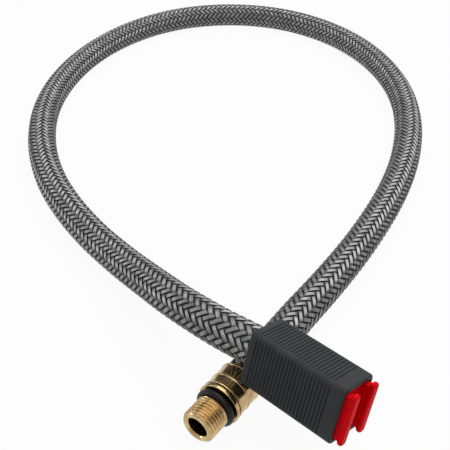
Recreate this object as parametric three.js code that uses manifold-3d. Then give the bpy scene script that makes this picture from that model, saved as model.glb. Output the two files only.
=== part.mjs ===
// A braided connection hose for a tap: a threaded brass nipple at one end, and at the other
// a ribbed plastic quick coupling with a red release slide. The hose lies in a loop on a
// table, crosses over itself beside the nipple and carries the coupling just past the crossing.
// Millimetres, +Z up, the table at z = 0, the nipple pointing along -Y.

import * as THREE from 'three';
import { mergeGeometries, mergeVertices } from 'three/addons/utils/BufferGeometryUtils.js';
import Module from 'manifold-3d';

const wasm = await Module();
wasm.setup();

// Clearances, cuts and roundness
const CLEARANCE = 0.3;
const HOSE_CLEARANCE = 0.2;
const HOSE_HOLE_CLEARANCE = 0.35;
const PLUG_HOLE_CLEARANCE = 0.15;
const PLUG_BORE_CLEARANCE = 0.05;
const RING_CLEARANCE = 0.075;
const JOIN_OVERLAP = 0.2;
const CUT_OVERRUN = 1;
const ROUND_SEGMENTS = 32;
const RING_SEGMENTS = 8;

// The hose
const HOSE_DIAMETER = 11.5;
const HOSE_SIDES = 12;
const HOSE_STEPS = 64;

// The nipple, from its free end, an M10 x 1 thread with an O-ring behind it
const THREAD_DIAMETER = 10.0;
const THREAD_LENGTH = 7.0;
const THREAD_CHAMFER = 0.7;
const NIPPLE_BORE = 6.0;
const BORE_CHAMFER = 0.5;
const O_RING_CORD = 2.0;
const O_RING_SEAT_DIAMETER = 7.9;
const O_RING_SEAT_LENGTH = 2.8;
const COLLAR_DIAMETER = 12.9;
const COLLAR_LENGTH = 1.3;
const COLLAR_EDGE = 0.2;
const NIPPLE_WAIST_DIAMETER = 9.4;
const NIPPLE_WAIST_LENGTH = 2.0;
const NIPPLE_TAIL_LENGTH = 3.3;
const NIPPLE_BARB_COUNT = 2;
const TAIL_DIAMETER = 8.0;
const BARB_HEIGHT = 0.25;

// The ferrule on the nipple, a sleeve with a fine bead round it and another at its mouth
const FERRULE_WALL = 0.4;
const FERRULE_LENGTH = 8.6;
const BEAD_HEIGHT = 0.15;
const BEAD_WIDTH = 0.5;
const BEAD_PLACE = 3.6;

// The coupling's housing
const HOUSING_LENGTH = 29.7;
const HOUSING_WIDTH = 13.7;
const HOUSING_HEIGHT = 16.8;
const LONG_EDGE_RADIUS = 2.0;
const END_EDGE_RADIUS = 0.6;
const SIDE_WALL = 0.95;
const TOP_WALL = 0.8;
const RIM_THICKNESS = 1.0;
const RIM_LEDGE = 0.6;
const SLIDE_CHAMBER_DEPTH = 13.0;
const RIB_PITCH = 1.05;
const RIB_GROOVE_WIDTH = 0.5;
const RIB_GROOVE_DEPTH = 0.3;
const RIB_COUNT = 23;
const RIB_END_SETBACK = 0.8;
const FRONT_BAND = 3.9;

// The red release slide
const BAR_WIDTH = 2.85;
const BAR_CLEARANCE = 0.1;
const LIP_THICKNESS = 1.5;
const LIP_ROUNDING = 0.7;
const LIP_END_ROUNDING = 0.6;
const LIP_HEIGHT = 15.2;
const NECK_INSET = 0.2;
const NECK_MARGIN = 0.5;
const NECK_ROUNDING = 0.2;
const WEB_THICKNESS = 1.6;
const WEB_LEDGE = 0.3;
const WEB_NOTCH_BOTTOM = 5.0;
const PLUG_DIAMETER = 5.5;
const SLIDE_TRAVEL = 1.0;
const PRESS_CLEARANCE = 0.1;
const TONGUE_LENGTH = 1.6;
const TONGUE_HEIGHT = 1.4;
const TONGUE_TIP_WIDTH = 4.4;
const TONGUE_ROOT_WIDTH = 6.0;

// The socket inside the coupling
const SOCKET_TUBE_DIAMETER = 9.4;
const SOCKET_FLANGE_THICKNESS = 1.6;
const SOCKET_BORE_DEPTH = 7.7;
const SOCKET_WATERWAY = 5.0;
const SEAL_CORD = 1.5;
const SEAL_GROOVE_DIAMETER = 8.3;
const SEAL_GROOVE_WIDTH = 1.8;
const SEAL_SPACING = 2.6;
const SEAL_SETBACK = 0.6;
const SOCKET_CHAMFER = 0.4;
const WATERWAY_CHAMFER = 0.3;
const SOCKET_TAIL_LENGTH = 10.9;
const SOCKET_BARB_COUNT = 4;
const COUPLING_FERRULE_DIAMETER = 11.5;
const COUPLING_FERRULE_LENGTH = 11.1;
const COUPLING_FERRULE_HOOK = 0.8;
const CRIMP_RINGS = 3;
const CRIMP_RING_DEPTH = 0.2;

// The clip that holds the plug
const CLIP_WIRE = 1.0;
const CLIP_BITE = 0.2;
const CLIP_SETBACK = 1.4;
const CLIP_LEG_BOTTOM = 6.6;
const CLIP_LEG_MIDDLE = 2.2;
const CLIP_LEG_TOP = 1.7;
const CLIP_SHOULDER = 0.8;
const CLIP_SHOULDER_HEIGHT = 3.6;
const CLIP_NECK = 0.4;
const CLIP_NECK_HEIGHT = 5.3;
const CLIP_HEAD_HALF_WIDTH = 1.8;
const CLIP_HEAD_HEIGHT = 6.3;
const CLIP_HEAD_TOP = 6.6;
const CLIP_SLOT_WIDTH = 1.6;
const CLIP_BRIDGE_WIDTH = 4.6;
const CLIP_STEPS = 36;
const CLIP_SIDES = 8;

// Places on the table: the nipple's free end, and the middle of the housing's rear face
const NIPPLE_END = [-15.67, -15.41, COLLAR_DIAMETER / 2];
const COUPLING_REAR = [-10.79, 7.05, 19.8];
const COUPLING_TURN = THREE.MathUtils.degToRad(-7.18);
const COUPLING_ROLL = THREE.MathUtils.degToRad(-17);

// The hose's centreline, from the nipple's ferrule round the loop to the coupling
const HOSE_ROUTE = [
  [-15.67, 1.29, 6.45], [-15.67, 5.26, 6.45], [-15.79, 11.06, 6.3], [-16.03, 18.55, 6],
  [-16.35, 27.05, 5.83], [-16.67, 36.92, 5.8], [-16.92, 55.74, 5.8], [-17.83, 74.63, 5.8],
  [-19.73, 93.48, 5.8], [-22.64, 112.14, 5.8], [-26.95, 130.65, 5.8], [-32.89, 148.62, 5.8],
  [-40.48, 165.92, 5.8], [-49.97, 182.25, 5.8], [-61.52, 197.16, 5.8], [-75.17, 210.28, 5.8],
  [-90.53, 221.07, 5.8], [-107.57, 228.95, 5.8], [-125.81, 233.31, 5.8], [-144.42, 233.4, 5.8],
  [-162.37, 228.3, 5.8], [-178.13, 218.38, 5.8], [-190.52, 204.44, 5.8],
  [-198.42, 187.67, 5.8], [-201.97, 169.53, 5.8], [-201.92, 150.8, 5.8],
  [-198.72, 132.24, 5.8], [-192.73, 114.38, 5.8], [-184.36, 97.55, 5.8], [-173.76, 81.95, 5.8],
  [-161.1, 67.92, 5.8], [-146.86, 55.6, 5.8], [-131.11, 45.11, 5.8], [-114.11, 36.72, 5.8],
  [-96.38, 30.05, 6.1], [-78.42, 24.39, 7.6], [-60.41, 18.38, 11.2], [-42.45, 12.28, 15.7],
  [-25.06, 8.43, 18.75], [-13.22, 7.35, 19.8], [-5.78, 6.42, 19.8],
];

const brass = new THREE.MeshStandardMaterial({ color: 0xc9a25a, metalness: 1, roughness: 0.2 });
const steel = new THREE.MeshStandardMaterial({ color: 0xb9bbbd, metalness: 1, roughness: 0.35 });
const rubber = new THREE.MeshStandardMaterial({ color: 0x15161a, metalness: 0, roughness: 0.5 });
const greyPlastic = new THREE.MeshStandardMaterial({
  color: 0x3c3e40, metalness: 0, roughness: 0.6,
});
const redPlastic = new THREE.MeshStandardMaterial({
  color: 0xc40d14, metalness: 0, roughness: 0.4,
});

// Booleans: a closed geometry becomes a solid, and a solid becomes a geometry again

function solidOf(geometry) {
  const bare = geometry.clone();
  bare.deleteAttribute('normal');
  bare.deleteAttribute('uv');
  const merged = mergeVertices(bare, 1e-4);
  return new wasm.Manifold(new wasm.Mesh({
    numProp: 3,
    vertProperties: new Float32Array(merged.attributes.position.array),
    triVerts: new Uint32Array(merged.index.array),
  }));
}

function geometryOf(solid) {
  const mesh = solid.getMesh();
  const geometry = new THREE.BufferGeometry();
  geometry.setAttribute('position', new THREE.BufferAttribute(mesh.vertProperties, 3));
  geometry.setIndex(new THREE.BufferAttribute(mesh.triVerts, 1));
  geometry.computeVertexNormals();
  return geometry;
}

// Shapes that repeat

function roundedRectangle(left, right, bottom, top, radius) {
  const shape = new THREE.Shape();
  shape.moveTo(left + radius, bottom);
  shape.lineTo(right - radius, bottom);
  shape.absarc(right - radius, bottom + radius, radius, -Math.PI / 2, 0, false);
  shape.lineTo(right, top - radius);
  shape.absarc(right - radius, top - radius, radius, 0, Math.PI / 2, false);
  shape.lineTo(left + radius, top);
  shape.absarc(left + radius, top - radius, radius, Math.PI / 2, Math.PI, false);
  shape.lineTo(left, bottom + radius);
  shape.absarc(left + radius, bottom + radius, radius, Math.PI, Math.PI * 1.5, false);
  return shape;
}

// A block whose outline lies across the coupling's axis, between two places on that axis
function blockAcross(shape, from, to, edge = 0) {
  const geometry = new THREE.ExtrudeGeometry(shape, {
    depth: to - from - 2 * edge,
    bevelEnabled: edge > 0,
    bevelThickness: edge,
    bevelSize: edge,
    bevelOffset: -edge,
    bevelSegments: 2,
    curveSegments: 4,
  });
  geometry.rotateX(Math.PI / 2);
  geometry.rotateZ(Math.PI / 2);
  return geometry.translate(from + edge, 0, 0);
}

// A block whose outline lies in the X and Y of the coupling, with its height along Z
function blockUpright(shape, from, to, edge = 0) {
  const geometry = new THREE.ExtrudeGeometry(shape, {
    depth: to - from - 2 * edge,
    bevelEnabled: edge > 0,
    bevelThickness: edge,
    bevelSize: edge,
    bevelOffset: -edge,
    bevelSegments: 2,
    curveSegments: 3,
  });
  return geometry.translate(0, 0, from + edge);
}

// A turned piece: its outline lists radius and place along the axis, round the section
function turned(outline) {
  const points = outline.map(([radius, along]) => new THREE.Vector2(radius, along));
  points.push(points[0].clone());
  return new THREE.LatheGeometry(points, ROUND_SEGMENTS);
}

function turnedAlongX(outline) {
  return turned(outline).rotateZ(-Math.PI / 2);
}

function bar(radius, from, to) {
  const geometry = new THREE.CylinderGeometry(radius, radius, to - from, ROUND_SEGMENTS);
  return geometry.rotateZ(-Math.PI / 2).translate((from + to) / 2, 0, 0);
}

function box(left, right, front, back, bottom, top) {
  const geometry = new THREE.BoxGeometry(right - left, back - front, top - bottom);
  return geometry.translate((left + right) / 2, (front + back) / 2, (bottom + top) / 2);
}

function rubberRing(ringRadius, cord) {
  return new THREE.TorusGeometry(ringRadius, cord / 2, RING_SEGMENTS, ROUND_SEGMENTS);
}

// A barbed tail's outside, from its root to its tip, as radius and place
function barbs(root, tip, radius, count) {
  const pitch = (tip - root) / count;
  const outline = [];
  for (let i = 0; i < count; i += 1) {
    const start = root + i * pitch;
    outline.push([radius + BARB_HEIGHT, start], [radius, start + pitch]);
  }
  return outline;
}

function meshNamed(name, geometry, material) {
  const mesh = new THREE.Mesh(geometry, material);
  mesh.name = name;
  return mesh;
}

// The nipple end. Places count from the free end, along the way to the hose.

const seatStart = THREAD_LENGTH;
const collarStart = seatStart + O_RING_SEAT_LENGTH;
const collarEnd = collarStart + COLLAR_LENGTH;
const sleeveStart = collarEnd + CLEARANCE;
const sleeveEnd = sleeveStart + FERRULE_LENGTH;
const waistEnd = collarEnd + NIPPLE_WAIST_LENGTH;
const tailEnd = waistEnd + NIPPLE_TAIL_LENGTH;

function threadedNipple() {
  const bore = NIPPLE_BORE / 2;
  const thread = THREAD_DIAMETER / 2;
  const seat = O_RING_SEAT_DIAMETER / 2;
  const collar = COLLAR_DIAMETER / 2;
  const waist = NIPPLE_WAIST_DIAMETER / 2;
  const tail = TAIL_DIAMETER / 2;
  return turned([
    [bore, BORE_CHAMFER],
    [bore + BORE_CHAMFER, 0],
    [thread - THREAD_CHAMFER, 0],
    [thread, THREAD_CHAMFER],
    [thread, seatStart],
    [seat, seatStart],
    [seat, collarStart],
    [collar - COLLAR_EDGE, collarStart],
    [collar, collarStart + COLLAR_EDGE],
    [collar, collarEnd],
    [waist, collarEnd],
    [waist, waistEnd],
    ...barbs(waistEnd, tailEnd, tail, NIPPLE_BARB_COUNT),
    [bore, tailEnd],
  ]);
}

function nippleRing() {
  const radius = (O_RING_SEAT_DIAMETER + O_RING_CORD) / 2 + RING_CLEARANCE;
  const ring = rubberRing(radius, O_RING_CORD);
  return ring.rotateX(Math.PI / 2).translate(0, seatStart + O_RING_SEAT_LENGTH / 2, 0);
}

function nippleFerrule() {
  const bead = COLLAR_DIAMETER / 2;
  const outside = bead - BEAD_HEIGHT;
  const inside = outside - FERRULE_WALL;
  const hook = NIPPLE_WAIST_DIAMETER / 2 + CLEARANCE;
  const beadStart = sleeveStart + BEAD_PLACE;
  const beadEnd = beadStart + BEAD_WIDTH;
  return turned([
    [hook, sleeveStart],
    [bead, sleeveStart],
    [bead, sleeveStart + BEAD_WIDTH],
    [outside, sleeveStart + BEAD_WIDTH + BEAD_HEIGHT],
    [outside, beadStart - BEAD_HEIGHT],
    [bead, beadStart],
    [bead, beadEnd],
    [outside, beadEnd + BEAD_HEIGHT],
    [outside, sleeveEnd - BEAD_WIDTH - BEAD_HEIGHT],
    [bead, sleeveEnd - BEAD_WIDTH],
    [bead, sleeveEnd],
    [inside, sleeveEnd],
    [inside, sleeveStart + FERRULE_WALL],
    [hook, sleeveStart + FERRULE_WALL],
  ]);
}

// The coupling. Places count along its axis from the housing's front face, back to the hose.

const back = -HOUSING_LENGTH;
const halfWidth = HOUSING_WIDTH / 2;
const halfHeight = HOUSING_HEIGHT / 2;
const chamberHalfWidth = halfWidth - SIDE_WALL;
const chamberHalfHeight = halfHeight - TOP_WALL;
const rimHalfHeight = chamberHalfHeight - RIM_LEDGE;
const innerCorner = LONG_EDGE_RADIUS - SIDE_WALL;
const fittedCorner = innerCorner - CLEARANCE;
const hoseHole = HOSE_DIAMETER / 2 + HOSE_HOLE_CLEARANCE;
const webFront = -RIM_THICKNESS - CLEARANCE;
const webBack = webFront - WEB_THICKNESS;
const tubeFront = webBack - SLIDE_TRAVEL - CLEARANCE;
const flangeBack = -SLIDE_CHAMBER_DEPTH + CLEARANCE;
const flangeFront = flangeBack + SOCKET_FLANGE_THICKNESS;
const clipPlace = tubeFront - CLIP_SETBACK;
const firstSeal = clipPlace - CLIP_SLOT_WIDTH / 2 - SEAL_SETBACK - SEAL_GROOVE_WIDTH / 2;
const secondSeal = firstSeal - SEAL_SPACING;
const socketBoreEnd = tubeFront - SOCKET_BORE_DEPTH;
const couplingFerruleFront = -SLIDE_CHAMBER_DEPTH - CLEARANCE;
const couplingFerruleBack = couplingFerruleFront - COUPLING_FERRULE_LENGTH;

function housing() {
  const outside = solidOf(blockAcross(
    roundedRectangle(-halfWidth, halfWidth, -halfHeight, halfHeight, LONG_EDGE_RADIUS),
    back, 0, END_EDGE_RADIUS,
  ));
  const chamber = solidOf(blockAcross(
    roundedRectangle(
      -chamberHalfWidth, chamberHalfWidth, -chamberHalfHeight, chamberHalfHeight,
      innerCorner,
    ),
    -SLIDE_CHAMBER_DEPTH, -RIM_THICKNESS,
  ));
  const mouth = solidOf(blockAcross(
    roundedRectangle(
      -chamberHalfWidth, chamberHalfWidth, -rimHalfHeight, rimHalfHeight,
      innerCorner,
    ),
    -RIM_THICKNESS - JOIN_OVERLAP, CUT_OVERRUN,
  ));
  const hole = solidOf(bar(hoseHole, back - CUT_OVERRUN, -SLIDE_CHAMBER_DEPTH + JOIN_OVERLAP));
  return geometryOf(
    outside.subtract(ribGrooves()).subtract(chamber).subtract(mouth).subtract(hole),
  );
}

// Fine grooves across all four faces; they run out on the rounded long edges
function ribGrooves() {
  const cutters = [];
  const wide = halfWidth - RIB_END_SETBACK;
  const tall = halfHeight - RIB_END_SETBACK;
  for (let i = 0; i < RIB_COUNT; i += 1) {
    const right = -FRONT_BAND - i * RIB_PITCH;
    const left = right - RIB_GROOVE_WIDTH;
    for (const side of [-1, 1]) {
      const floorZ = side * (halfHeight - RIB_GROOVE_DEPTH);
      const outZ = side * (halfHeight + CUT_OVERRUN);
      const floorY = side * (halfWidth - RIB_GROOVE_DEPTH);
      const outY = side * (halfWidth + CUT_OVERRUN);
      const lowZ = Math.min(floorZ, outZ);
      const highZ = Math.max(floorZ, outZ);
      const lowY = Math.min(floorY, outY);
      const highY = Math.max(floorY, outY);
      cutters.push(box(left, right, -wide, wide, lowZ, highZ));
      cutters.push(box(left, right, lowY, highY, -tall, tall));
    }
  }
  return solidOf(mergeGeometries(cutters));
}

// Two upright bars with rounded lips in front, on a web behind the housing's rim that is
// notched between them at the top
function releaseSlide() {
  const barOutside = chamberHalfWidth - BAR_CLEARANCE;
  const barInside = barOutside - BAR_WIDTH;
  const neckHalfHeight = rimHalfHeight - NECK_MARGIN;
  const lipBack = SLIDE_TRAVEL + PRESS_CLEARANCE;
  const lipFront = lipBack + LIP_THICKNESS;
  const webHalfWidth = chamberHalfWidth - CLEARANCE;
  const webHalfHeight = rimHalfHeight + WEB_LEDGE;
  let slide = solidOf(blockAcross(
    roundedRectangle(-webHalfWidth, webHalfWidth, -webHalfHeight, webHalfHeight, fittedCorner),
    webBack, webFront,
  ));
  slide = slide.subtract(solidOf(box(
    webBack - CUT_OVERRUN, webFront + CUT_OVERRUN, -barInside, barInside,
    WEB_NOTCH_BOTTOM, webHalfHeight + CUT_OVERRUN,
  )));
  for (const side of [-1, 1]) {
    const lipLow = side > 0 ? barInside : -barOutside;
    const lip = roundedRectangle(
      lipBack, lipFront, lipLow, lipLow + BAR_WIDTH, LIP_ROUNDING,
    );
    const neck = roundedRectangle(
      webBack + WEB_THICKNESS / 2, lipBack + LIP_THICKNESS / 2,
      lipLow + NECK_INSET, lipLow + BAR_WIDTH - NECK_INSET, NECK_ROUNDING,
    );
    slide = slide.add(solidOf(blockUpright(lip, -LIP_HEIGHT / 2, LIP_HEIGHT / 2, LIP_END_ROUNDING)));
    slide = slide.add(solidOf(blockUpright(neck, -neckHalfHeight, neckHalfHeight)));
  }
  const plugHole = PLUG_DIAMETER / 2 + PLUG_HOLE_CLEARANCE;
  slide = slide.subtract(solidOf(bar(plugHole, webBack - CUT_OVERRUN, webFront + JOIN_OVERLAP)));
  return geometryOf(slide.add(solidOf(tongue())));
}

// A tapered tongue under the plug that goes in between the clip's legs
function tongue() {
  const root = webBack + WEB_THICKNESS / 2;
  const tip = webBack - TONGUE_LENGTH;
  const outline = new THREE.Shape();
  outline.moveTo(root, -TONGUE_ROOT_WIDTH / 2);
  outline.lineTo(root, TONGUE_ROOT_WIDTH / 2);
  outline.lineTo(webBack, TONGUE_ROOT_WIDTH / 2);
  outline.lineTo(tip, TONGUE_TIP_WIDTH / 2);
  outline.lineTo(tip, -TONGUE_TIP_WIDTH / 2);
  outline.lineTo(webBack, -TONGUE_ROOT_WIDTH / 2);
  const bottom = -SOCKET_TUBE_DIAMETER / 2 - CLEARANCE - TONGUE_HEIGHT;
  return blockUpright(outline, bottom, bottom + TONGUE_HEIGHT);
}

function socketBody() {
  const tube = SOCKET_TUBE_DIAMETER / 2;
  const bore = PLUG_DIAMETER / 2 + PLUG_BORE_CLEARANCE;
  const waterway = SOCKET_WATERWAY / 2;
  const tail = TAIL_DIAMETER / 2;
  const groove = SEAL_GROOVE_DIAMETER / 2;
  const tailStart = flangeBack - CLEARANCE;
  const tailTip = tailStart - SOCKET_TAIL_LENGTH;
  const outline = [
    [waterway, tailTip],
    ...barbs(tailStart, tailTip, tail, SOCKET_BARB_COUNT).reverse(),
    [tail, tailStart],
    [tail, flangeBack],
    [tube, flangeBack],
    [tube, tubeFront],
    [bore + SOCKET_CHAMFER, tubeFront],
    [bore, tubeFront - SOCKET_CHAMFER],
  ];
  for (const middle of [firstSeal, secondSeal]) {
    outline.push([bore, middle + SEAL_GROOVE_WIDTH / 2], [groove, middle + SEAL_GROOVE_WIDTH / 2]);
    outline.push([groove, middle - SEAL_GROOVE_WIDTH / 2], [bore, middle - SEAL_GROOVE_WIDTH / 2]);
  }
  outline.push([bore, socketBoreEnd], [waterway, socketBoreEnd - WATERWAY_CHAMFER]);
  const flangeHalfWidth = chamberHalfWidth - CLEARANCE;
  const flangeHalfHeight = chamberHalfHeight - CLEARANCE;
  const flange = solidOf(blockAcross(
    roundedRectangle(
      -flangeHalfWidth, flangeHalfWidth, -flangeHalfHeight, flangeHalfHeight, fittedCorner,
    ),
    flangeBack, flangeFront,
  ));
  const flangeHole = solidOf(
    bar(tube - JOIN_OVERLAP, flangeBack - CUT_OVERRUN, flangeFront + CUT_OVERRUN),
  );
  const slotFrom = clipPlace - CLIP_SLOT_WIDTH / 2;
  const slotTo = clipPlace + CLIP_SLOT_WIDTH / 2;
  const bridge = CLIP_BRIDGE_WIDTH / 2;
  const leftSlot = box(slotFrom, slotTo, bridge, tube + CUT_OVERRUN, -tube, tube);
  const rightSlot = box(slotFrom, slotTo, -tube - CUT_OVERRUN, -bridge, -tube, tube);
  return geometryOf(
    solidOf(turnedAlongX(outline))
      .add(flange.subtract(flangeHole))
      .subtract(solidOf(leftSlot))
      .subtract(solidOf(rightSlot)),
  );
}

function seal(place) {
  const radius = (SEAL_GROOVE_DIAMETER - SEAL_CORD) / 2 - RING_CLEARANCE;
  const ring = rubberRing(radius, SEAL_CORD);
  return ring.rotateY(Math.PI / 2).translate(place, 0, 0);
}

// A hairpin of spring wire: its legs lie in the socket's slots and bite into the plug's groove
function retainingClip() {
  const leg = PLUG_DIAMETER / 2 - CLIP_BITE + CLIP_WIRE / 2;
  const half = [
    [leg, -CLIP_LEG_BOTTOM],
    [leg, -CLIP_LEG_MIDDLE],
    [leg, CLIP_LEG_TOP],
    [leg + CLIP_SHOULDER, CLIP_SHOULDER_HEIGHT],
    [leg + CLIP_NECK, CLIP_NECK_HEIGHT],
    [CLIP_HEAD_HALF_WIDTH, CLIP_HEAD_HEIGHT],
  ];
  const route = half.map(([y, z]) => new THREE.Vector3(clipPlace, y, z));
  route.push(new THREE.Vector3(clipPlace, 0, CLIP_HEAD_TOP));
  for (const [y, z] of half.slice().reverse()) {
    route.push(new THREE.Vector3(clipPlace, -y, z));
  }
  const section = new THREE.Shape();
  section.absarc(0, 0, CLIP_WIRE / 2, 0, 2 * Math.PI, false);
  return new THREE.ExtrudeGeometry(section, {
    steps: CLIP_STEPS,
    curveSegments: CLIP_SIDES / 2,
    extrudePath: new THREE.CatmullRomCurve3(route),
  });
}

// A crimped sleeve on the hose's end, hooked behind the socket's flange
function couplingFerrule() {
  const outside = COUPLING_FERRULE_DIAMETER / 2;
  const inside = outside - FERRULE_WALL;
  const hook = TAIL_DIAMETER / 2 + BARB_HEIGHT + CLEARANCE;
  const front = couplingFerruleFront;
  const rear = couplingFerruleBack;
  const pitch = (front - rear) / CRIMP_RINGS;
  const outline = [
    [hook, front - COUPLING_FERRULE_HOOK],
    [inside, front - COUPLING_FERRULE_HOOK],
    [inside, rear],
    [outside, rear],
  ];
  for (let i = 0; i < CRIMP_RINGS; i += 1) {
    const middle = rear + (i + 0.5) * pitch;
    outline.push([outside, middle - pitch / 4], [outside - CRIMP_RING_DEPTH, middle]);
    outline.push([outside, middle + pitch / 4]);
  }
  outline.push([outside, front], [hook, front]);
  return turnedAlongX(outline);
}

// The hose, a plain round tube along its centreline
function braidedHose() {
  const section = new THREE.Shape();
  section.absarc(0, 0, HOSE_DIAMETER / 2, 0, 2 * Math.PI, false);
  const route = HOSE_ROUTE.map(([x, y, z]) => new THREE.Vector3(x, y, z));
  return new THREE.ExtrudeGeometry(section, {
    steps: HOSE_STEPS,
    curveSegments: HOSE_SIDES / 2,
    extrudePath: new THREE.CatmullRomCurve3(route),
  });
}

const fitting = new THREE.Group();
fitting.position.set(...NIPPLE_END);
fitting.add(
  meshNamed('threaded_nipple', threadedNipple(), brass),
  meshNamed('nipple_o_ring', nippleRing(), rubber),
  meshNamed('nipple_ferrule', nippleFerrule(), brass),
);

const coupling = new THREE.Group();
coupling.add(
  meshNamed('coupling_housing', housing(), greyPlastic),
  meshNamed('release_slide', releaseSlide(), redPlastic),
  meshNamed('socket_body', socketBody(), brass),
  meshNamed('front_seal', seal(firstSeal), rubber),
  meshNamed('rear_seal', seal(secondSeal), rubber),
  meshNamed('retaining_clip', retainingClip(), steel),
  meshNamed('coupling_ferrule', couplingFerrule(), steel),
);
coupling.position.x = HOUSING_LENGTH;

const rolled = new THREE.Group();
rolled.rotation.x = COUPLING_ROLL;
rolled.add(coupling);

const turnedCoupling = new THREE.Group();
turnedCoupling.position.set(...COUPLING_REAR);
turnedCoupling.rotation.z = COUPLING_TURN;
turnedCoupling.add(rolled);

const connectionHose = new THREE.Group();
connectionHose.name = 'connection_hose';
connectionHose.add(fitting, turnedCoupling, meshNamed('braided_hose', braidedHose(), steel));
connectionHose.updateMatrixWorld(true);

export default connectionHose;
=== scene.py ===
import math

import bmesh
import bpy
import numpy as np
from mathutils import Matrix, Vector


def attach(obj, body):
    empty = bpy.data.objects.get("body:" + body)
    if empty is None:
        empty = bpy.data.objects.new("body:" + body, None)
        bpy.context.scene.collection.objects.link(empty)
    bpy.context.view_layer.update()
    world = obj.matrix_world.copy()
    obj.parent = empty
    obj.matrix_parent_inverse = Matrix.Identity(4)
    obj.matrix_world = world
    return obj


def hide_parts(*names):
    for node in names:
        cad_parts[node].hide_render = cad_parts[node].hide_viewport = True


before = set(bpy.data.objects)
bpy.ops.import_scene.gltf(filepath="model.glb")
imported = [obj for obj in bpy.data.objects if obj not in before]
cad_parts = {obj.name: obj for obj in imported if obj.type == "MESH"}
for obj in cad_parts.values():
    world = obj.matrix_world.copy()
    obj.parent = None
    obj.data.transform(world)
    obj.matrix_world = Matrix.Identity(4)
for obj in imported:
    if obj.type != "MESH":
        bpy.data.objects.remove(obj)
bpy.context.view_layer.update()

# Camera
# It stands low in front of the coupling and looks down along the loop, at the height,
# heading and lens that the photo's perspective gives.

mm = 0.001

camera_data = bpy.data.cameras.new("camera")
camera_data.lens = 62.4
camera_data.sensor_width = 36.0
camera_data.clip_start = 10 * mm
camera = bpy.data.objects.new("camera", camera_data)
heading = math.radians(35.81)
look_down = math.radians(36.76)
camera.location = (67.57 * mm, -117.93 * mm, 171.5 * mm)
camera.rotation_euler = (math.pi / 2 - look_down, 0.0, heading)
bpy.context.scene.collection.objects.link(camera)
bpy.context.scene.camera = camera

# Hose lining
# A black rubber tube, which shows only as the dark in the gaps of the braid. It runs from the
# nipple's ferrule round the loop on the table, over its own start and into the coupling.

hose_diameter = 11.5 * mm
lining_diameter = 10.5 * mm
# Points of the hose's centre line, in metres, from the nipple to the coupling.
hose_route = [
    (-0.01567, 0.00129, 0.00645), (-0.01567, 0.00526, 0.00645), (-0.01579, 0.01106, 0.0063),
    (-0.01603, 0.01855, 0.006), (-0.01635, 0.02705, 0.00583), (-0.01667, 0.03692, 0.0058),
    (-0.01692, 0.05574, 0.0058), (-0.01783, 0.07463, 0.0058), (-0.01973, 0.09348, 0.0058),
    (-0.02264, 0.11214, 0.0058), (-0.02695, 0.13065, 0.0058), (-0.03289, 0.14862, 0.0058),
    (-0.04048, 0.16592, 0.0058), (-0.04997, 0.18225, 0.0058), (-0.06152, 0.19716, 0.0058),
    (-0.07517, 0.21028, 0.0058), (-0.09053, 0.22107, 0.0058), (-0.10757, 0.22895, 0.0058),
    (-0.12581, 0.23331, 0.0058), (-0.14442, 0.2334, 0.0058), (-0.16237, 0.2283, 0.0058),
    (-0.17813, 0.21838, 0.0058), (-0.19052, 0.20444, 0.0058), (-0.19842, 0.18767, 0.0058),
    (-0.20197, 0.16953, 0.0058), (-0.20192, 0.1508, 0.0058), (-0.19872, 0.13224, 0.0058),
    (-0.19273, 0.11438, 0.0058), (-0.18436, 0.09755, 0.0058), (-0.17376, 0.08195, 0.0058),
    (-0.1611, 0.06792, 0.0058), (-0.14686, 0.0556, 0.0058), (-0.13111, 0.04511, 0.0058),
    (-0.11411, 0.03672, 0.0058), (-0.09638, 0.03005, 0.0061), (-0.07842, 0.02439, 0.0076),
    (-0.06041, 0.01838, 0.0112), (-0.04245, 0.01228, 0.0157), (-0.02506, 0.00843, 0.01875),
    (-0.01322, 0.00735, 0.0198), (-0.00578, 0.00642, 0.0198),
]


def smooth_line(points, steps_per_span):
    """Points along one smooth curve through the given ones."""
    points = [np.array(point) for point in points]
    knots = [2 * points[0] - points[1], *points, 2 * points[-1] - points[-2]]
    line = []
    for x0, x1, x2, x3 in zip(knots, knots[1:], knots[2:], knots[3:]):
        before = math.sqrt(np.linalg.norm(x1 - x0))
        here = math.sqrt(np.linalg.norm(x2 - x1))
        after = math.sqrt(np.linalg.norm(x3 - x2))
        leave = ((x1 - x0) / before - (x2 - x0) / (before + here) + (x2 - x1) / here) * here
        arrive = ((x2 - x1) / here - (x3 - x1) / (here + after) + (x3 - x2) / after) * here
        for step in range(steps_per_span):
            t = step / steps_per_span
            line.append(
                (2 * t**3 - 3 * t**2 + 1) * x1 + (t**3 - 2 * t**2 + t) * leave
                + (3 * t**2 - 2 * t**3) * x2 + (t**3 - t**2) * arrive
            )
    line.append(points[-1])
    return np.array(line)


def even_line(line, step):
    """The same line with its points about one step apart, and how far along each one is."""
    along = np.concatenate([[0], np.cumsum(np.linalg.norm(np.diff(line, axis=0), axis=1))])
    places = np.linspace(0, along[-1], round(along[-1] / step) + 1)
    return np.stack([np.interp(places, along, line[:, axis]) for axis in range(3)], axis=1), places


def frames_along(line):
    """Two directions across the line at each point, carried along it without twist."""
    forward = np.gradient(line, axis=0)
    forward /= np.linalg.norm(forward, axis=1)[:, None]
    across = [np.array((0.0, 0.0, 1.0))]
    for direction in forward:
        turned = across[-1] - direction * np.dot(across[-1], direction)
        across.append(turned / np.linalg.norm(turned))
    across = np.array(across[1:])
    return across, np.cross(forward, across)


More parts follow.
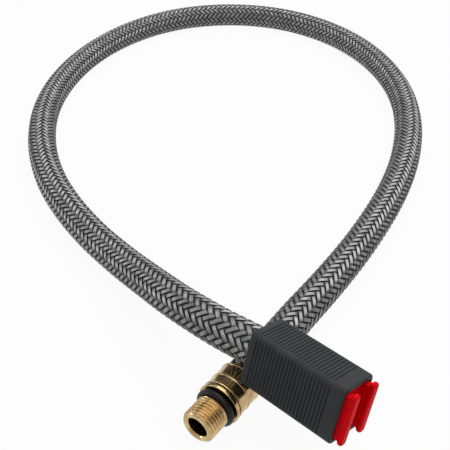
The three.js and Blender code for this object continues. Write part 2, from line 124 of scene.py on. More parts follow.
def loft(name, strands, closed=False):
    """A piece made of strands. A strand is a row of rings of points, joined one after another:
    its last ring is joined to its first if it is closed, and its two ends are capped if not."""
    strands = np.asarray(strands, dtype=float)
    count, rings, columns, _ = strands.shape
    corner = np.arange(count * rings * columns).reshape(count, rings, columns)
    here = corner if closed else corner[:, :-1]
    there = np.roll(corner, -1, axis=1) if closed else corner[:, 1:]
    quads = np.stack([here, np.roll(here, -1, 2), np.roll(there, -1, 2), there], axis=-1)
    faces = quads.reshape(-1, 4).tolist()
    if not closed:
        for strand in corner:
            faces.append(strand[0][::-1].tolist())
            faces.append(strand[-1].tolist())
    points = strands.reshape(-1, 3)
    # Where the faces enclose a negative volume they look inward, and are turned round.
    a, b, c, d = (points[quads.reshape(-1, 4)[:, side]] - points[0] for side in range(4))
    volume = np.sum(np.cross(a, b) * c) + np.sum(np.cross(a, c) * d)
    mesh = bpy.data.meshes.new(name)
    mesh.from_pydata(points.tolist(), [], faces)
    if volume < 0:
        mesh.flip_normals()
    mesh.shade_smooth()
    piece = bpy.data.objects.new(name, mesh)
    bpy.context.scene.collection.objects.link(piece)
    return piece


def colour(code):
    """A hex code in sRGB, such as 808080, as a linear colour."""
    values = [int(code[i : i + 2], 16) / 255 for i in (0, 2, 4)]
    return [v / 12.92 if v <= 0.04045 else ((v + 0.055) / 1.055) ** 2.4 for v in values] + [1.0]


def add(owner, kind, inputs=None, **settings):
    """Adds a node of that kind to a material or the world, with its settings, and gives its
    inputs values or links."""
    tree = owner.node_tree
    made = tree.nodes.new(kind)
    for name, value in settings.items():
        setattr(made, name, value)
    for name, value in (inputs or {}).items():
        if isinstance(value, bpy.types.NodeSocket):
            tree.links.new(value, made.inputs[name])
        else:
            made.inputs[name].default_value = value
    return made


def empty_material(name):
    """A new material with no nodes yet."""
    material = bpy.data.materials.new(name)
    material.use_nodes = True
    material.node_tree.nodes.clear()
    return material


# Extruded nitrile rubber, black and dull, so that light doesn't come back out of the gaps.
extruded_rubber = empty_material("extruded_nitrile_rubber")
place = add(extruded_rubber, "ShaderNodeTexCoord").outputs["Object"]
bloom = add(extruded_rubber, "ShaderNodeTexNoise", {"Vector": place, "Scale": 1 / (2 * mm)})
shade = add(extruded_rubber, "ShaderNodeValToRGB", {"Fac": bloom.outputs["Fac"]})
shade.color_ramp.elements[0].color = colour("060607")
shade.color_ramp.elements[1].color = colour("0c0c0d")
rubber_surface = add(
    extruded_rubber, "ShaderNodeBsdfPrincipled",
    {"Base Color": shade.outputs["Color"], "Roughness": 0.7, "IOR": 1.52},
)
add(extruded_rubber, "ShaderNodeOutputMaterial", {"Surface": rubber_surface.outputs["BSDF"]})

# The braid needs a point at every step of the line, and the lining only at every fourth.
route_steps = 60
wire_step = 0.6 * mm
lining_every = 4
lining_sides = 32
hose_line, hose_places = even_line(smooth_line(hose_route, route_steps), wire_step)
hose_across, hose_beside = frames_along(hose_line)
lining_turn = np.linspace(0, 2 * math.pi, lining_sides, endpoint=False)[None, :, None]
lining_rings = (
    hose_line[::lining_every, None]
    + lining_diameter / 2 * np.cos(lining_turn) * hose_across[::lining_every, None]
    + lining_diameter / 2 * np.sin(lining_turn) * hose_beside[::lining_every, None]
)
hose_lining = loft("hose_lining", [lining_rings])
hose_lining.data.materials.append(extruded_rubber)
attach(hose_lining, "hose_assembly")
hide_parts("braided_hose")

# Wire braid
# Twenty-eight ribbons of stainless wire, five wires side by side in each, fourteen laid to
# the right and fourteen to the left. Each passes over two of the others and then under two.

carriers = 14
# The real wires are finer and more in number, and wouldn't show apart from one another.
wires = 5
wire_width = 0.215 * mm
wire_height = 0.12 * mm
braid_lay = 38.0 * mm
braid_angle = math.atan(math.pi * hose_diameter / braid_lay)
braid_inset = 0.03 * mm
braid_top = hose_diameter / 2 - braid_inset
braid_lift = 0.46 * mm
lift_sharpness = 2.2
first_over = {1: 0.5, -1: 2.5}


def braid_ribbons(hand, first, last):
    """The ribbons of one hand, 1 for right and -1 for left, between two points of the hose's
    line, as rings of points. Also how far each point is lifted, from 0 under the other ribbons
    to 1 over them: this repeats every four crossings, and the hands are two crossings apart."""
    columns = 2 * wires + 1
    width = wires * wire_width / math.cos(braid_angle) / (hose_diameter / 2)
    offset = np.linspace(-0.5, 0.5, columns) * width
    ridge = (np.arange(columns) % 2) * wire_height
    turn = 2 * math.pi * hose_places[first:last] / braid_lay
    own = np.arange(carriers)[:, None, None]
    angle = 2 * math.pi * own / carriers + hand * turn[None, :, None] + offset
    crossed = (angle + hand * turn[None, :, None]) * carriers / (2 * math.pi)
    wave = np.cos(math.pi / 2 * (own + crossed - first_over[hand]))
    lift = 0.5 + 0.5 * np.tanh(lift_sharpness * wave) / math.tanh(lift_sharpness)
    radius = braid_top - wire_height - braid_lift * (1 - lift) + ridge
    across = hose_across[first:last][None, :, None]
    beside = hose_beside[first:last][None, :, None]
    middle = hose_line[first:last][None, :, None]
    radius = radius[..., None]
    angle = angle[..., None]
    return middle + radius * (np.cos(angle) * across + np.sin(angle) * beside), lift


def sharpen_valleys(piece, columns):
    """Keeps the lines between neighbouring wires sharp, so that each wire looks round."""
    mesh = piece.data
    ends = np.empty(2 * len(mesh.edges), dtype=int)
    mesh.edges.foreach_get("vertices", ends)
    column = ends.reshape(-1, 2) % columns
    sharp = (column[:, 0] == column[:, 1]) & (column[:, 0] % 2 == 0)
    attribute = mesh.attributes.new("sharp_edge", "BOOLEAN", "EDGE")
    attribute.data.foreach_set("value", sharp)


# Drawn stainless wire, bright but a little scratched by the braiding, so each wire throws a
# thin line of light along its back. Where it dips under the others its colour is darkened as
# painted shade from the ribbons crossing over it.
stainless_wire = empty_material("drawn_stainless_wire")
place = add(stainless_wire, "ShaderNodeTexCoord").outputs["Object"]
patches = add(stainless_wire, "ShaderNodeTexNoise", {"Vector": place, "Scale": 1 / (3 * mm)})
grey = add(stainless_wire, "ShaderNodeValToRGB", {"Fac": patches.outputs["Fac"]})
grey.color_ramp.elements[0].position = 0.3
grey.color_ramp.elements[0].color = colour("828282")
grey.color_ramp.elements[1].position = 0.7
grey.color_ramp.elements[1].color = colour("a6a6a6")
# Painted shade: the wire's grey is scaled down by how far it is lifted, to 0.03 where it lies
# under the crossing ribbons.
lifted = add(stainless_wire, "ShaderNodeAttribute", attribute_name="lifted")
crossing_shade = add(
    stainless_wire, "ShaderNodeMapRange",
    {"Value": lifted.outputs["Fac"], "From Min": 0.3, "To Min": 0.03},
)
wire_colour = add(
    stainless_wire, "ShaderNodeVectorMath",
    {0: grey.outputs["Color"], "Scale": crossing_shade.outputs["Result"]}, operation="SCALE",
)
scratches = add(stainless_wire, "ShaderNodeTexNoise", {"Vector": place, "Scale": 1 / (0.4 * mm)})
dulled = add(
    stainless_wire, "ShaderNodeMapRange",
    {"Value": scratches.outputs["Fac"], "To Min": 0.3, "To Max": 0.44},
)
wire_surface = add(
    stainless_wire, "ShaderNodeBsdfPrincipled",
    {
        "Base Color": wire_colour.outputs["Vector"], "Metallic": 1.0,
        "Roughness": dulled.outputs["Result"],
    },
)
add(stainless_wire, "ShaderNodeOutputMaterial", {"Surface": wire_surface.outputs["BSDF"]})

half = len(hose_line) // 2
for hand, lay in ((1, "right"), (-1, "left")):
    for part, first, last in (("first", 0, half + 1), ("second", half, len(hose_line))):
        ribbons, lift = braid_ribbons(hand, first, last)
        braid = loft(f"braid_{lay}_{part}_half", ribbons)
        sharpen_valleys(braid, 2 * wires + 1)
        lifted_points = braid.data.attributes.new("lifted", "FLOAT", "POINT")
        lifted_points.data.foreach_set("value", lift.ravel())
        braid.data.materials.append(stainless_wire)
        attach(braid, "hose_assembly")

# Nipple
# Turned from brass bar and polished: a short M10 x 1 thread for the tap's foot, a seat for
# the O-ring, a thin collar, and a tail inside the hose. The thread is cut right-handed.

nipple_end = Vector((-15.67, -15.41, 6.45)) * mm
round_columns = 144
round_turn = np.linspace(0, 2 * math.pi, round_columns, endpoint=False)
thread_pitch = 1.0 * mm
thread_radius = 5.0 * mm
thread_depth = 0.56 * mm
thread_length = 7.0 * mm
thread_chamfer = 0.7 * mm
thread_flat = 0.14
thread_run_out = 0.4 * mm
thread_row_count = 120
bore_radius = 3.0 * mm
bore_chamfer = 0.5 * mm
ring_seat_radius = 3.95 * mm
ring_seat_length = 2.8 * mm
collar_radius = 6.45 * mm
collar_length = 1.3 * mm
waist_radius = 4.7 * mm
waist_length = 2.0 * mm
tail_radius = 4.0 * mm
tail_length = 3.3 * mm
nipple_edge = 0.15 * mm
turned_sharp = math.radians(50)


def softened(outline, edge, arc_steps=3):
    """A closed outline of radius and place with its corners rounded."""
    # Two arcs share a side, and each may take a little less than half of it.
    arcs_per_side = 2.1
    result = []
    points = [Vector(point) for point in outline]
    for i, here in enumerate(points):
        back = points[i - 1] - here
        ahead = points[(i + 1) % len(points)] - here
        reach = min(edge, back.length / arcs_per_side, ahead.length / arcs_per_side)
        start = here + back.normalized() * reach
        end = here + ahead.normalized() * reach
        for step in range(arc_steps + 1):
            t = step / arc_steps
            result.append((1 - t) ** 2 * start + 2 * t * (1 - t) * here + t**2 * end)
    return [tuple(point) for point in result]


def turned_rings(outline):
    """Rings round the nipple's axis. A radius may be one number or one for each column."""
    rings = []
    for radius, along in outline:
        x = nipple_end.x + radius * np.cos(round_turn)
        z = nipple_end.z + radius * np.sin(round_turn)
        y = np.full(round_columns, nipple_end.y + along)
        rings.append(np.stack([x, y, z], axis=1))
    return rings


def thread_rows():
    """Rows of the threaded stretch, from just inside the free end to the O-ring's seat."""
    rows = []
    for along in np.linspace(thread_chamfer / 4, thread_length, thread_row_count):
        phase = (along / thread_pitch + round_turn / (2 * math.pi)) % 1.0
        flank = (np.abs(2 * phase - 1) - thread_flat) / (1 - 2 * thread_flat)
        flank = np.clip(flank, 0, 1)
        run_out = min(1.0, (thread_length - along) / thread_run_out)
        radius = thread_radius - thread_depth * flank * run_out
        cone = thread_radius - thread_chamfer + along
        rows.append((np.minimum(radius, cone), along))
    return rows


collar_start = thread_length + ring_seat_length
collar_end = collar_start + collar_length
waist_end = collar_end + waist_length
nipple_outline = softened(
    [
        (ring_seat_radius, thread_length),
        (ring_seat_radius, collar_start),
        (collar_radius, collar_start),
        (collar_radius, collar_end),
        (waist_radius, collar_end),
        (waist_radius, waist_end),
        (tail_radius, waist_end),
        (tail_radius, waist_end + tail_length),
        (bore_radius, waist_end + tail_length),
        (bore_radius, bore_chamfer),
        (bore_radius + bore_chamfer, 0),
        (thread_radius - thread_chamfer, 0),
    ],
    nipple_edge,
)
nipple_rings = turned_rings(nipple_outline + thread_rows())
threaded_nipple = loft("brass_nipple", [nipple_rings], closed=True)
threaded_nipple.data.set_sharp_from_angle(angle=turned_sharp)

# Free-cutting brass, polished after turning: a mirror with very fine lines round it left by
# the tool, a little darker and redder where it has tarnished.
turned_brass = empty_material("turned_polished_brass")
place = add(turned_brass, "ShaderNodeTexCoord").outputs["Object"]
tarnish = add(
    turned_brass, "ShaderNodeTexNoise", {"Vector": place, "Scale": 1 / (4 * mm), "Detail": 5.0},
)
gold = add(turned_brass, "ShaderNodeValToRGB", {"Fac": tarnish.outputs["Fac"]})
gold.color_ramp.elements[0].position = 0.35
gold.color_ramp.elements[0].color = colour("ab8d60")
gold.color_ramp.elements[1].position = 0.65
gold.color_ramp.elements[1].color = colour("cfb587")
line_length = 50 * mm
line_spacing = 0.15 * mm
round_lines = add(
    turned_brass, "ShaderNodeMapping",
    {"Vector": place, "Scale": (1 / line_length, 1 / line_spacing, 1 / line_length)},
)
tool_marks = add(
    turned_brass, "ShaderNodeTexNoise",
    {"Vector": round_lines.outputs["Vector"], "Scale": 1.0, "Detail": 3.0},
)
tool_bump = add(
    turned_brass, "ShaderNodeBump",
    {"Height": tool_marks.outputs["Fac"], "Strength": 0.12, "Distance": 0.02 * mm},
)
brass_polish = add(
    turned_brass, "ShaderNodeMapRange",
    {"Value": tool_marks.outputs["Fac"], "To Min": 0.1, "To Max": 0.24},
)
brass_surface = add(
    turned_brass, "ShaderNodeBsdfPrincipled",
    {
        "Base Color": gold.outputs["Color"], "Metallic": 1.0,
        "Roughness": brass_polish.outputs["Result"], "Normal": tool_bump.outputs["Normal"],
    },
)
add(turned_brass, "ShaderNodeOutputMaterial", {"Surface": brass_surface.outputs["BSDF"]})

threaded_nipple.data.materials.append(turned_brass)
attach(threaded_nipple, "hose_assembly")
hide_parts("threaded_nipple")

# O-ring
# A moulded rubber ring of 2 mm cord that seals against the tap's foot. It is held in the seat
# between the thread's end and the collar.

ring_cord = 2.0 * mm
ring_clearance = 0.075 * mm
ring_cord_sides = 40
ring_radius = ring_seat_radius + ring_cord / 2 + ring_clearance
ring_middle = thread_length + ring_seat_length / 2
cord_turn = np.linspace(0, 2 * math.pi, ring_cord_sides, endpoint=False)
ring_outline = [
    (ring_radius + ring_cord / 2 * math.cos(turn), ring_middle + ring_cord / 2 * math.sin(turn))
    for turn in cord_turn
]
o_ring = loft("rubber_o_ring", [turned_rings(ring_outline)], closed=True)

# Moulded nitrile rubber, black with a soft satin shine and a fine grain from the mould. The
# grain scatters what it mirrors, so its specular level is low.
moulded_rubber = empty_material("moulded_nitrile_rubber")
place = add(moulded_rubber, "ShaderNodeTexCoord").outputs["Object"]
grain = add(moulded_rubber, "ShaderNodeTexNoise", {"Vector": place, "Scale": 1 / (0.12 * mm)})
grain_bump = add(
    moulded_rubber, "ShaderNodeBump",
    {"Height": grain.outputs["Fac"], "Strength": 0.15, "Distance": 0.02 * mm},
)
wiped = add(moulded_rubber, "ShaderNodeTexNoise", {"Vector": place, "Scale": 1 / (3 * mm)})
satin = add(
    moulded_rubber, "ShaderNodeMapRange",
    {"Value": wiped.outputs["Fac"], "To Min": 0.32, "To Max": 0.5},
)
ring_black = add(moulded_rubber, "ShaderNodeValToRGB", {"Fac": wiped.outputs["Fac"]})
ring_black.color_ramp.elements[0].color = colour("07070c")
ring_black.color_ramp.elements[1].color = colour("0e0e14")
ring_surface = add(
    moulded_rubber, "ShaderNodeBsdfPrincipled",
    {
        "Base Color": ring_black.outputs["Color"], "Roughness": satin.outputs["Result"],
        "IOR": 1.52, "Specular IOR Level": 0.25, "Normal": grain_bump.outputs["Normal"],
    },
)
add(moulded_rubber, "ShaderNodeOutputMaterial", {"Surface": ring_surface.outputs["BSDF"]})

o_ring.data.materials.append(moulded_rubber)
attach(o_ring, "hose_assembly")
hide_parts("nipple_o_ring")

# Nipple's ferrule
# A thin brass sleeve pushed over the hose's end and pressed down on it. A fine bead runs
# round it where it was pressed, and another strengthens each of its ends.

ferrule_wall = 0.4 * mm
ferrule_gap = 0.3 * mm
ferrule_length = 8.6 * mm
bead_height = 0.15 * mm
bead_width = 0.5 * mm
bead_place = 3.6 * mm
ferrule_edge = 0.12 * mm
sleeve_start = collar_end + ferrule_gap
sleeve_end = sleeve_start + ferrule_length
sleeve_radius = collar_radius - bead_height
bead_start = sleeve_start + bead_place
bead_end = bead_start + bead_width
ferrule_outline = [
    (waist_radius + ferrule_gap, sleeve_start),
    (collar_radius, sleeve_start),
    (collar_radius, sleeve_start + bead_width),
    (sleeve_radius, sleeve_start + bead_width + bead_height),
    (sleeve_radius, bead_start - bead_height),
    (collar_radius, bead_start),
    (collar_radius, bead_end),
    (sleeve_radius, bead_end + bead_height),
    (sleeve_radius, sleeve_end - bead_width - bead_height),
    (collar_radius, sleeve_end - bead_width),
    (collar_radius, sleeve_end),
    (sleeve_radius - ferrule_wall, sleeve_end),
    (sleeve_radius - ferrule_wall, sleeve_start + ferrule_wall),
    (waist_radius + ferrule_gap, sleeve_start + ferrule_wall),
]
ferrule_rings = turned_rings(softened(ferrule_outline, ferrule_edge))
nipple_ferrule = loft("brass_ferrule", [ferrule_rings], closed=True)
nipple_ferrule.data.set_sharp_from_angle(angle=turned_sharp)
nipple_ferrule.data.materials.append(turned_brass)
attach(nipple_ferrule, "hose_assembly")
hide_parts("nipple_ferrule")

# Coupling's housing
# A moulded ABS shell, open in front for the slide and with a round hole behind for the hose.
# Fine ribs for the fingers run across its four faces, between two smooth bands.

housing_length = 29.7 * mm
coupling_rear = Vector((-10.79, 7.05, 19.8)) * mm
coupling_heading = math.radians(-7.18)
coupling_roll = math.radians(-17)
# Places along the coupling are measured from the housing's front face, and those behind it
# are negative.
coupling_place = (
    Matrix.Translation(coupling_rear)
    @ Matrix.Rotation(coupling_heading, 4, "Z")
    @ Matrix.Rotation(coupling_roll, 4, "X")
    @ Matrix.Translation((housing_length, 0, 0))
)
housing_half_width = 13.7 / 2 * mm
housing_half_height = 16.8 / 2 * mm
long_edge = 2.0 * mm
end_edge = 0.6 * mm
chamber_half_width = 5.9 * mm
chamber_half_height = 7.6 * mm
chamber_depth = 13.0 * mm
inner_corner = 1.05 * mm
mouth_half_height = 7.0 * mm
mouth_edge = 0.2 * mm
rim_thickness = 1.0 * mm
hose_hole = 6.1 * mm
rib_pitch = 1.05 * mm
rib_depth = 0.3 * mm
rib_count = 23
rib_steps = 12
groove_share = 0.56
groove_flank = 0.14
flat_face = 0.86
front_band = 3.9 * mm
housing_sharp = math.radians(35)
corner_points = 9
side_points = 12
edge_points = 7


def rounded_outline(half_width, half_height, radius):
    """Points round a rectangle with round corners, always as many and in the same order."""
    arcs = []
    for quarter, (side, top) in enumerate(((1, 1), (-1, 1), (-1, -1), (1, -1))):
        centre = np.array((side * (half_width - radius), top * (half_height - radius)))
        turn = (quarter + np.linspace(0, 1, corner_points)) * math.pi / 2
        arcs.append(centre + radius * np.stack([np.cos(turn), np.sin(turn)], axis=1))
    points = []
    for arc, following in zip(arcs, arcs[1:] + arcs[:1]):
        points += [*arc, *np.linspace(arc[-1], following[0], side_points)[1:-1]]
    return np.array(points)


def housing_outline(inset):
    """The housing's outside, with every face moved in by the inset."""
    return rounded_outline(
        housing_half_width - inset, housing_half_height - inset, long_edge - inset
    )


def ring_at(along, outline):
    """An outline as a ring across the coupling, at a place along its axis."""
    return np.column_stack([np.full(len(outline), along), outline])


def circle(radius, like):
    """A circle with as many points as another outline, in the same order."""
    directions = np.array(like)
    return directions / np.linalg.norm(directions, axis=1)[:, None] * radius


# Outward points straight out of the surface. On a flat face one of its two parts is 1, and
# round the long edges both are less. There the ribs fade away.
outside = housing_outline(0)
outward = (housing_outline(-mm) - outside) / mm
rib_fade = np.clip((np.abs(outward).max(axis=1) - flat_face) / (1 - flat_face), 0, 1)


def ribbed_ring(along):
    """The outside with the groove that is there. The grooves run out on the long edges."""
    place = (-along - front_band) / rib_pitch
    within = place % 1.0
    groove = 0.0
    if 0 < place < rib_count:
        groove = np.clip(min(within, groove_share - within) / groove_flank, 0, 1)
    return ring_at(along, outside - outward * (rib_depth * groove * rib_fade)[:, None])


back = -housing_length
chamber_outline = rounded_outline(chamber_half_width, chamber_half_height, inner_corner)
mouth_outline = rounded_outline(chamber_half_width, mouth_half_height, inner_corner)
mouth_lip = rounded_outline(
    chamber_half_width + mouth_edge, mouth_half_height + mouth_edge, inner_corner + mouth_edge
)
edge_turns = np.linspace(0, math.pi / 2, edge_points)
housing_rings = [
    ring_at(-chamber_depth, circle(hose_hole, outside)),
    ring_at(back + mouth_edge, circle(hose_hole, outside)),
    ring_at(back, circle(hose_hole + mouth_edge, outside)),
]
for turn in edge_turns:
    along = back + end_edge * (1 - math.cos(turn))
    housing_rings.append(ring_at(along, housing_outline(end_edge * (1 - math.sin(turn)))))
first_rib = -front_band - rib_count * rib_pitch
for step in range(rib_count * rib_steps + 1):
    housing_rings.append(ribbed_ring(first_rib + step * rib_pitch / rib_steps))
for turn in edge_turns:
    along = -end_edge * (1 - math.sin(turn))
    housing_rings.append(ring_at(along, housing_outline(end_edge * (1 - math.cos(turn)))))
housing_rings += [
    ring_at(0, mouth_lip),
    ring_at(-mouth_edge, mouth_outline),
    ring_at(-rim_thickness, mouth_outline),
    ring_at(-rim_thickness, chamber_outline),
    ring_at(-chamber_depth, chamber_outline),
]
housing = loft("ribbed_housing", [housing_rings], closed=True)
housing.data.set_sharp_from_angle(angle=housing_sharp)
housing.data.transform(coupling_place)

# Injection-moulded ABS, dark grey with no gloss: its mould was spark-eroded, which leaves an
# even fine grain, and the flow of the melt shows as faint lighter and darker clouds. The grain
# scatters what it mirrors, so its specular level is low.
moulded_abs = empty_material("moulded_matt_abs")
place = add(moulded_abs, "ShaderNodeTexCoord").outputs["Object"]
grain = add(
    moulded_abs, "ShaderNodeTexNoise", {"Vector": place, "Scale": 1 / (0.15 * mm), "Detail": 3.0},
)
grain_bump = add(
    moulded_abs, "ShaderNodeBump",
    {"Height": grain.outputs["Fac"], "Strength": 0.25, "Distance": 0.03 * mm},
)
flow = add(moulded_abs, "ShaderNodeTexNoise", {"Vector": place, "Scale": 1 / (5 * mm)})
dark_grey = add(moulded_abs, "ShaderNodeValToRGB", {"Fac": flow.outputs["Fac"]})
dark_grey.color_ramp.elements[0].position = 0.3
dark_grey.color_ramp.elements[0].color = colour("2b2d2f")
dark_grey.color_ramp.elements[1].position = 0.7
dark_grey.color_ramp.elements[1].color = colour("333537")
dull = add(
    moulded_abs, "ShaderNodeMapRange",
    {"Value": grain.outputs["Fac"], "To Min": 0.5, "To Max": 0.65},
)
abs_surface = add(
    moulded_abs, "ShaderNodeBsdfPrincipled",
    {
        "Base Color": dark_grey.outputs["Color"], "Roughness": dull.outputs["Result"],
        "IOR": 1.54, "Specular IOR Level": 0.2, "Normal": grain_bump.outputs["Normal"],
    },
)
add(moulded_abs, "ShaderNodeOutputMaterial", {"Surface": abs_surface.outputs["BSDF"]})

housing.data.materials.append(moulded_abs)
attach(housing, "hose_assembly")
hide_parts("coupling_housing")

# Release slide
# One moulding in red acetal: a web behind the housing's rim with a hole for the plug and a
# notch above it, and two upright bars in front that the fingers press. A tongue behind the
# web spreads the clip.

web_front = -1.3 * mm
web_back = -2.9 * mm
web_half_width = 5.6 * mm
web_half_height = 7.3 * mm
web_corner = 0.75 * mm
web_notch = 5.0 * mm
plug_hole = 2.9 * mm
bar_outside = 5.8 * mm
bar_width = 2.85 * mm
lip_back = 1.1 * mm
lip_front = 2.6 * mm
lip_half_height = 7.6 * mm
lip_corner = 1.2 * mm
lip_edge = 0.65 * mm
neck_inset = 0.2 * mm
neck_half_height = 6.5 * mm
neck_corner = 0.4 * mm
neck_edge = 0.2 * mm
tongue_tip = -4.5 * mm
tongue_half_width = 2.2 * mm
tongue_bottom = -6.4 * mm
tongue_top = -5.0 * mm
voxel_size = 0.12 * mm


def add_block(shape, low, high, corner, edge):
    """Adds a block between two corners of its box. Seen from the front its corners are round,
    and its front and back edges are rounded too."""
    (back, left, bottom), (front, right, top) = low, high
    middle = np.array((0, (left + right) / 2, (bottom + top) / 2))
    places = [(back + edge * (1 - math.cos(t)), edge * (1 - math.sin(t))) for t in edge_turns]
    places += [(front - edge * (1 - math.sin(t)), edge * (1 - math.cos(t))) for t in edge_turns]
    rings = []
    for along, inset in places:
        half_width = (right - left) / 2 - inset
        half_height = (top - bottom) / 2 - inset
        outline = rounded_outline(half_width, half_height, corner - inset)
        rings.append(middle + ring_at(along, outline))
    block = loft("slide_block", [rings])
    shape.from_mesh(block.data)
    bpy.data.objects.remove(block)


# Between the bars the web ends lower, at the notch.
web_outline = rounded_outline(web_half_width, web_half_height, web_corner)
between_bars = (abs(web_outline[:, 0]) < bar_outside - bar_width) & (web_outline[:, 1] > 0)
web_outline[between_bars, 1] = web_notch
web = loft(
    "slide_web",
    [[
        ring_at(web_front, web_outline), ring_at(web_front, circle(plug_hole, web_outline)),
        ring_at(web_back, circle(plug_hole, web_outline)), ring_at(web_back, web_outline),
    ]],
    closed=True,
)
# The web, bars and tongue become one skin, and their inner corners a little rounder.
slide_shape = bmesh.new()
slide_shape.from_mesh(web.data)
for side in (-1, 1):
    low = bar_outside - bar_width if side > 0 else -bar_outside
    high = low + bar_width
    add_block(
        slide_shape, (lip_back, low, -lip_half_height), (lip_front, high, lip_half_height),
        lip_corner, lip_edge,
    )
    add_block(
        slide_shape, ((web_front + web_back) / 2, low + neck_inset, -neck_half_height),
        ((lip_back + lip_front) / 2, high - neck_inset, neck_half_height),
        neck_corner, neck_edge,
    )
add_block(
    slide_shape, (tongue_tip, -tongue_half_width, tongue_bottom),
    ((web_front + web_back) / 2, tongue_half_width, tongue_top), neck_corner, neck_edge,
)
slide_shape.to_mesh(web.data)
slide_shape.free()
remesh = web.modifiers.new("one_moulding", "REMESH")
remesh.mode = "VOXEL"
remesh.voxel_size = voxel_size
remesh.use_smooth_shade = True
soften_edges = web.modifiers.new("moulded_edges", "SMOOTH")
soften_edges.factor = 0.5
soften_edges.iterations = 5
moulded_web = web.evaluated_get(bpy.context.evaluated_depsgraph_get())
slide = bpy.data.objects.new("red_slide", bpy.data.meshes.new_from_object(moulded_web))
bpy.context.scene.collection.objects.link(slide)
bpy.data.objects.remove(web)
slide.data.transform(coupling_place)

# Moulded acetal, dyed red through: smooth and slightly waxy, with a soft dull shine. Its
# specular level is low, so that the white room doesn't wash out its deep red.
red_acetal = empty_material("moulded_red_acetal")
place = add(red_acetal, "ShaderNodeTexCoord").outputs["Object"]
haze = add(red_acetal, "ShaderNodeTexNoise", {"Vector": place, "Scale": 1 / (2.5 * mm)})
red = add(red_acetal, "ShaderNodeValToRGB", {"Fac": haze.outputs["Fac"]})
red.color_ramp.elements[0].position = 0.3
red.color_ramp.elements[0].color = colour("d4000a")
red.color_ramp.elements[1].position = 0.7
red.color_ramp.elements[1].color = colour("e4000e")
skin = add(red_acetal, "ShaderNodeTexNoise", {"Vector": place, "Scale": 1 / (0.3 * mm)})
skin_bump = add(
    red_acetal, "ShaderNodeBump",
    {"Height": skin.outputs["Fac"], "Strength": 0.1, "Distance": 0.02 * mm},
)
waxy = add(
    red_acetal, "ShaderNodeMapRange",
    {"Value": skin.outputs["Fac"], "To Min": 0.42, "To Max": 0.54},
)
red_surface = add(
    red_acetal, "ShaderNodeBsdfPrincipled",
    {
        "Base Color": red.outputs["Color"], "Roughness": waxy.outputs["Result"], "IOR": 1.48,
        "Specular IOR Level": 0.06, "Normal": skin_bump.outputs["Normal"],
    },
)
add(red_acetal, "ShaderNodeOutputMaterial", {"Surface": red_surface.outputs["BSDF"]})

slide.data.materials.clear()
slide.data.materials.append(red_acetal)
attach(slide, "release_slide")
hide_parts("release_slide")

# Inside the coupling
# A turned brass socket with two rubber seals takes the plug, a hairpin of spring steel holds it,
# and a crimped steel ferrule holds the hose. They keep their CAD shapes, because only a little
# of them shows through the plug's hole.

# Spring steel, drawn bright: smooth and grey, with slightly duller patches from handling.
bright_steel = empty_material("bright_drawn_steel")
place = add(bright_steel, "ShaderNodeTexCoord").outputs["Object"]
patches = add(bright_steel, "ShaderNodeTexNoise", {"Vector": place, "Scale": 1 / (1.5 * mm)})
steel_dull = add(
    bright_steel, "ShaderNodeMapRange",
    {"Value": patches.outputs["Fac"], "To Min": 0.25, "To Max": 0.4},
)
steel_grey = add(bright_steel, "ShaderNodeValToRGB", {"Fac": patches.outputs["Fac"]})
steel_grey.color_ramp.elements[0].color = colour("95979a")
steel_grey.color_ramp.elements[1].color = colour("b4b6b8")
steel_surface = add(
    bright_steel, "ShaderNodeBsdfPrincipled",
    {
        "Base Color": steel_grey.outputs["Color"], "Metallic": 1.0,
        "Roughness": steel_dull.outputs["Result"],
    },
)
add(bright_steel, "ShaderNodeOutputMaterial", {"Surface": steel_surface.outputs["BSDF"]})

inner_finishes = {
    "socket_body": turned_brass, "front_seal": moulded_rubber, "rear_seal": moulded_rubber,
    "retaining_clip": bright_steel, "coupling_ferrule": bright_steel,
}
for node, finish in inner_finishes.items():
    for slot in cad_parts[node].material_slots:
        slot.material = finish

# Studio
# The hose lies on a plain white table under one large soft lamp, with a small weak one at the
# left. The table looks white to the camera, to metal and to glass. So does the room round it to
# the camera, and metal and glass show it a little greyer.

bpy.context.scene.view_settings.view_transform = "Standard"


def seen_directly(owner):
    """A value of 1 where the camera, a reflection or a view through glass meets the surface."""
    rays = add(owner, "ShaderNodeLightPath")
    camera_or_glossy = add(
        owner, "ShaderNodeMath",
        {0: rays.outputs["Is Camera Ray"], 1: rays.outputs["Is Glossy Ray"]}, operation="MAXIMUM",
    )
    return add(
        owner, "ShaderNodeMath",
        {0: camera_or_glossy.outputs["Value"], 1: rays.outputs["Is Transmission Ray"]},
        operation="MAXIMUM",
    ).outputs["Value"]


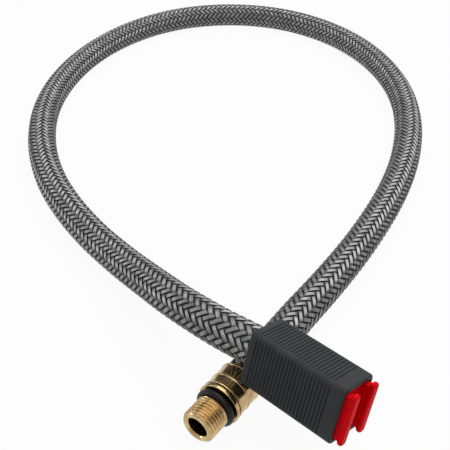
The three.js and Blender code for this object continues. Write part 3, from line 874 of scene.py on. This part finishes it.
# White laminate with a matt face. The part of it that glows keeps it white, and the rest takes
# the hose's soft shadow.
glow_share = 0.94
table_top = empty_material("white_laminate")
matt_white = add(table_top, "ShaderNodeBsdfDiffuse", {"Color": colour("d8d8d8")})
glow = add(table_top, "ShaderNodeEmission", {"Color": colour("ffffff"), "Strength": 1.0})
part_glow = add(
    table_top, "ShaderNodeMath",
    {0: seen_directly(table_top), 1: glow_share}, operation="MULTIPLY",
)
table_mix = add(
    table_top, "ShaderNodeMixShader",
    {
        "Fac": part_glow.outputs["Value"],
        1: matt_white.outputs["BSDF"], 2: glow.outputs["Emission"],
    },
)
add(table_top, "ShaderNodeOutputMaterial", {"Surface": table_mix.outputs["Shader"]})

table_reach = 3.0
table_mesh = bpy.data.meshes.new("table")
table_mesh.from_pydata(
    [(x * table_reach, y * table_reach, 0) for x, y in ((-1, -1), (1, -1), (1, 1), (-1, 1))],
    [], [(0, 1, 2, 3)],
)
table_mesh.materials.append(table_top)
table = bpy.data.objects.new("table", table_mesh)
bpy.context.scene.collection.objects.link(table)

world = bpy.data.worlds.new("studio")
world.use_nodes = True
world.node_tree.nodes.clear()
daylight = 0.36
reflected_daylight = 0.7
daylight_met = add(
    world, "ShaderNodeMapRange",
    {"Value": seen_directly(world), "To Min": daylight, "To Max": reflected_daylight},
)
world_rays = add(world, "ShaderNodeLightPath")
world_strength = add(
    world, "ShaderNodeMath",
    {0: daylight_met.outputs["Result"], 1: world_rays.outputs["Is Camera Ray"]},
    operation="MAXIMUM",
)
world_light = add(
    world, "ShaderNodeBackground",
    {"Color": colour("ffffff"), "Strength": world_strength.outputs["Value"]},
)
add(world, "ShaderNodeOutputWorld", {"Surface": world_light.outputs["Background"]})
bpy.context.scene.world = world

loop_middle = Vector((-0.08, 0.1, 0.0))


def soft_lamp(name, place, size, power):
    """A square lamp of that size in metres and power in watts, aimed at the loop's middle."""
    light = bpy.data.lights.new(name, "AREA")
    light.shape = "SQUARE"
    light.size = size
    light.energy = power
    lamp = bpy.data.objects.new(name, light)
    lamp.location = place
    aim = loop_middle - lamp.location
    lamp.rotation_euler = aim.to_track_quat("-Z", "Y").to_euler()
    bpy.context.scene.collection.objects.link(lamp)


soft_lamp("overhead_lamp", place=(0.02, 0.46, 0.9), size=1.5, power=11.5)
soft_lamp("left_lamp", place=(-0.85, -0.45, 0.27), size=0.3, power=1.3)
